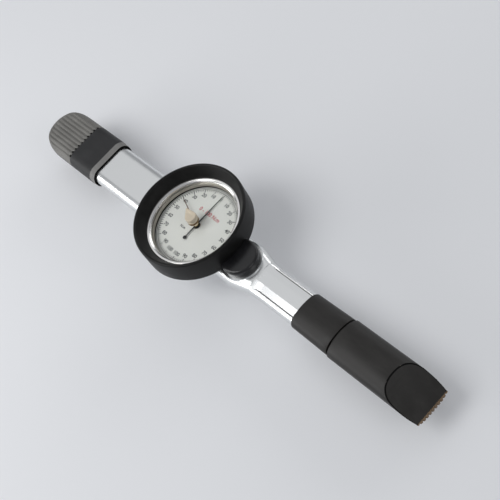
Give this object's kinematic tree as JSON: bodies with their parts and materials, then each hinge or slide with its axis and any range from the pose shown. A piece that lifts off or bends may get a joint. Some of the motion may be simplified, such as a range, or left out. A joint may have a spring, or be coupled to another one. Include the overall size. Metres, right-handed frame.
{
  "type": "dial torque wrench",
  "caption": "Dial torque wrench: flat-oval steel body, square drive, round rubber-guarded dial with pointer and drag pointer, black head cap and scooped black grip.",
  "frame": {"origin": "on the square drive's axis, in the middle plane of the flat-oval body", "axes": "+X from the drive axis along the body to the handle, +Z out of the dial's face, so the square drive points along -Z"},
  "size_m": [0.382, 0.0812, 0.0503],
  "materials": {
    "satin_tube": "satin",
    "black_cap": "fine texture",
    "dark_screw": "black oxide",
    "bronze": "turned",
    "tool_steel": "ground",
    "bright_steel": "polished",
    "brass": "polished",
    "case_metal": "satin",
    "black_moulding": "satin",
    "black_grip": "fine texture",
    "chrome_drive": "polished",
    "pointer_black": "satin",
    "bezel_metal": "bright",
    "black_rubber": "satin",
    "clear_crystal": "clear",
    "dark_ring": "satin",
    "dial_white": "satin",
    "memory_brown": "satin",
    "knob_cream": "satin"
  },
  "bodies": {
    "housing": {"housing_tube": "satin_tube", "head_cap": "black_cap", "cap_screws": "dark_screw", "drive_bush": "bronze", "thrust_washer": "bronze", "beam_anchor": "tool_steel", "anchor_screws": "dark_screw", "anchor_pin": "bright_steel", "measuring_beam": "tool_steel", "sector_post": "bright_steel", "sector_spacer": "brass", "sector_clip": "dark_screw", "dial_case": "case_metal", "case_screws": "bright_steel", "bridge_pillars": "brass", "movement_bridge": "brass", "bridge_screws": "bright_steel", "hairspring": "bright_steel", "hairspring_stud": "brass", "pivot_cap": "black_moulding", "neck_tube": "satin_tube", "neck_screws": "dark_screw", "front_sleeve": "black_grip", "grip": "black_grip", "handle_screws": "dark_screw"},
    "drive": {"drive_head": "chrome_drive", "beam_screw": "dark_screw", "signal_arm": "bright_steel", "arm_pins": "bright_steel", "drive_pin": "bright_steel", "detent_spring": "bright_steel"},
    "ball": {"detent_ball": "bright_steel"},
    "sector": {"sector_gear": "brass"},
    "pointer": {"pinion_shaft": "bright_steel", "pointer": "pointer_black"},
    "bezel": {"bezel": "bezel_metal", "dial_guard": "black_rubber", "crystal": "clear_crystal", "crystal_bush": "brass", "dial_spacer": "dark_ring", "dial_plate": "dial_white", "dial_retainer": "case_metal", "bezel_screws": "dark_screw"},
    "memory": {"memory_shaft": "brass", "memory_pointer": "memory_brown", "drag_washer": "bright_steel", "memory_knob": "knob_cream"}
  },
  "joints": [
    {"name": "drive_flex", "type": "hinge", "parent": "housing", "child": "drive", "pos_m": [0, 0, 0], "axis": [0, 0, 1], "range_deg": [-0.9, 0.9], "deforming": ["measuring_beam"]},
    {"name": "sector_turn", "type": "hinge", "parent": "housing", "child": "sector", "pos_m": [0.2032, 0, 0], "axis": [0, 0, 1], "range_deg": [-17.3, 17.3]},
    {"name": "pointer_spin", "type": "hinge", "parent": "housing", "child": "pointer", "pos_m": [0.157, 0, 0], "axis": [0, 0, 1], "range_deg": [-173, 173], "deforming": ["hairspring"]},
    {"name": "bezel_turn", "type": "hinge", "parent": "housing", "child": "bezel", "pos_m": [0.157, 0, 0], "axis": [0, 0, 1], "continuous": true},
    {"name": "memory_turn", "type": "hinge", "parent": "bezel", "child": "memory", "pos_m": [0.157, 0, 0], "axis": [0, 0, 1], "continuous": true},
    {"name": "detent_press", "type": "slide", "parent": "drive", "child": "ball", "axis": [0, 1, 0], "range_m": [0, 0.001], "stiffness_N_per_m": 300, "springref_m": -0.004, "deforming": ["detent_spring"]}
  ],
  "couplings": [
    {"joint": "sector_turn", "follows": "drive_flex", "ratio": 19.1},
    {"joint": "pointer_spin", "follows": "drive_flex", "ratio": -191}
  ]
}
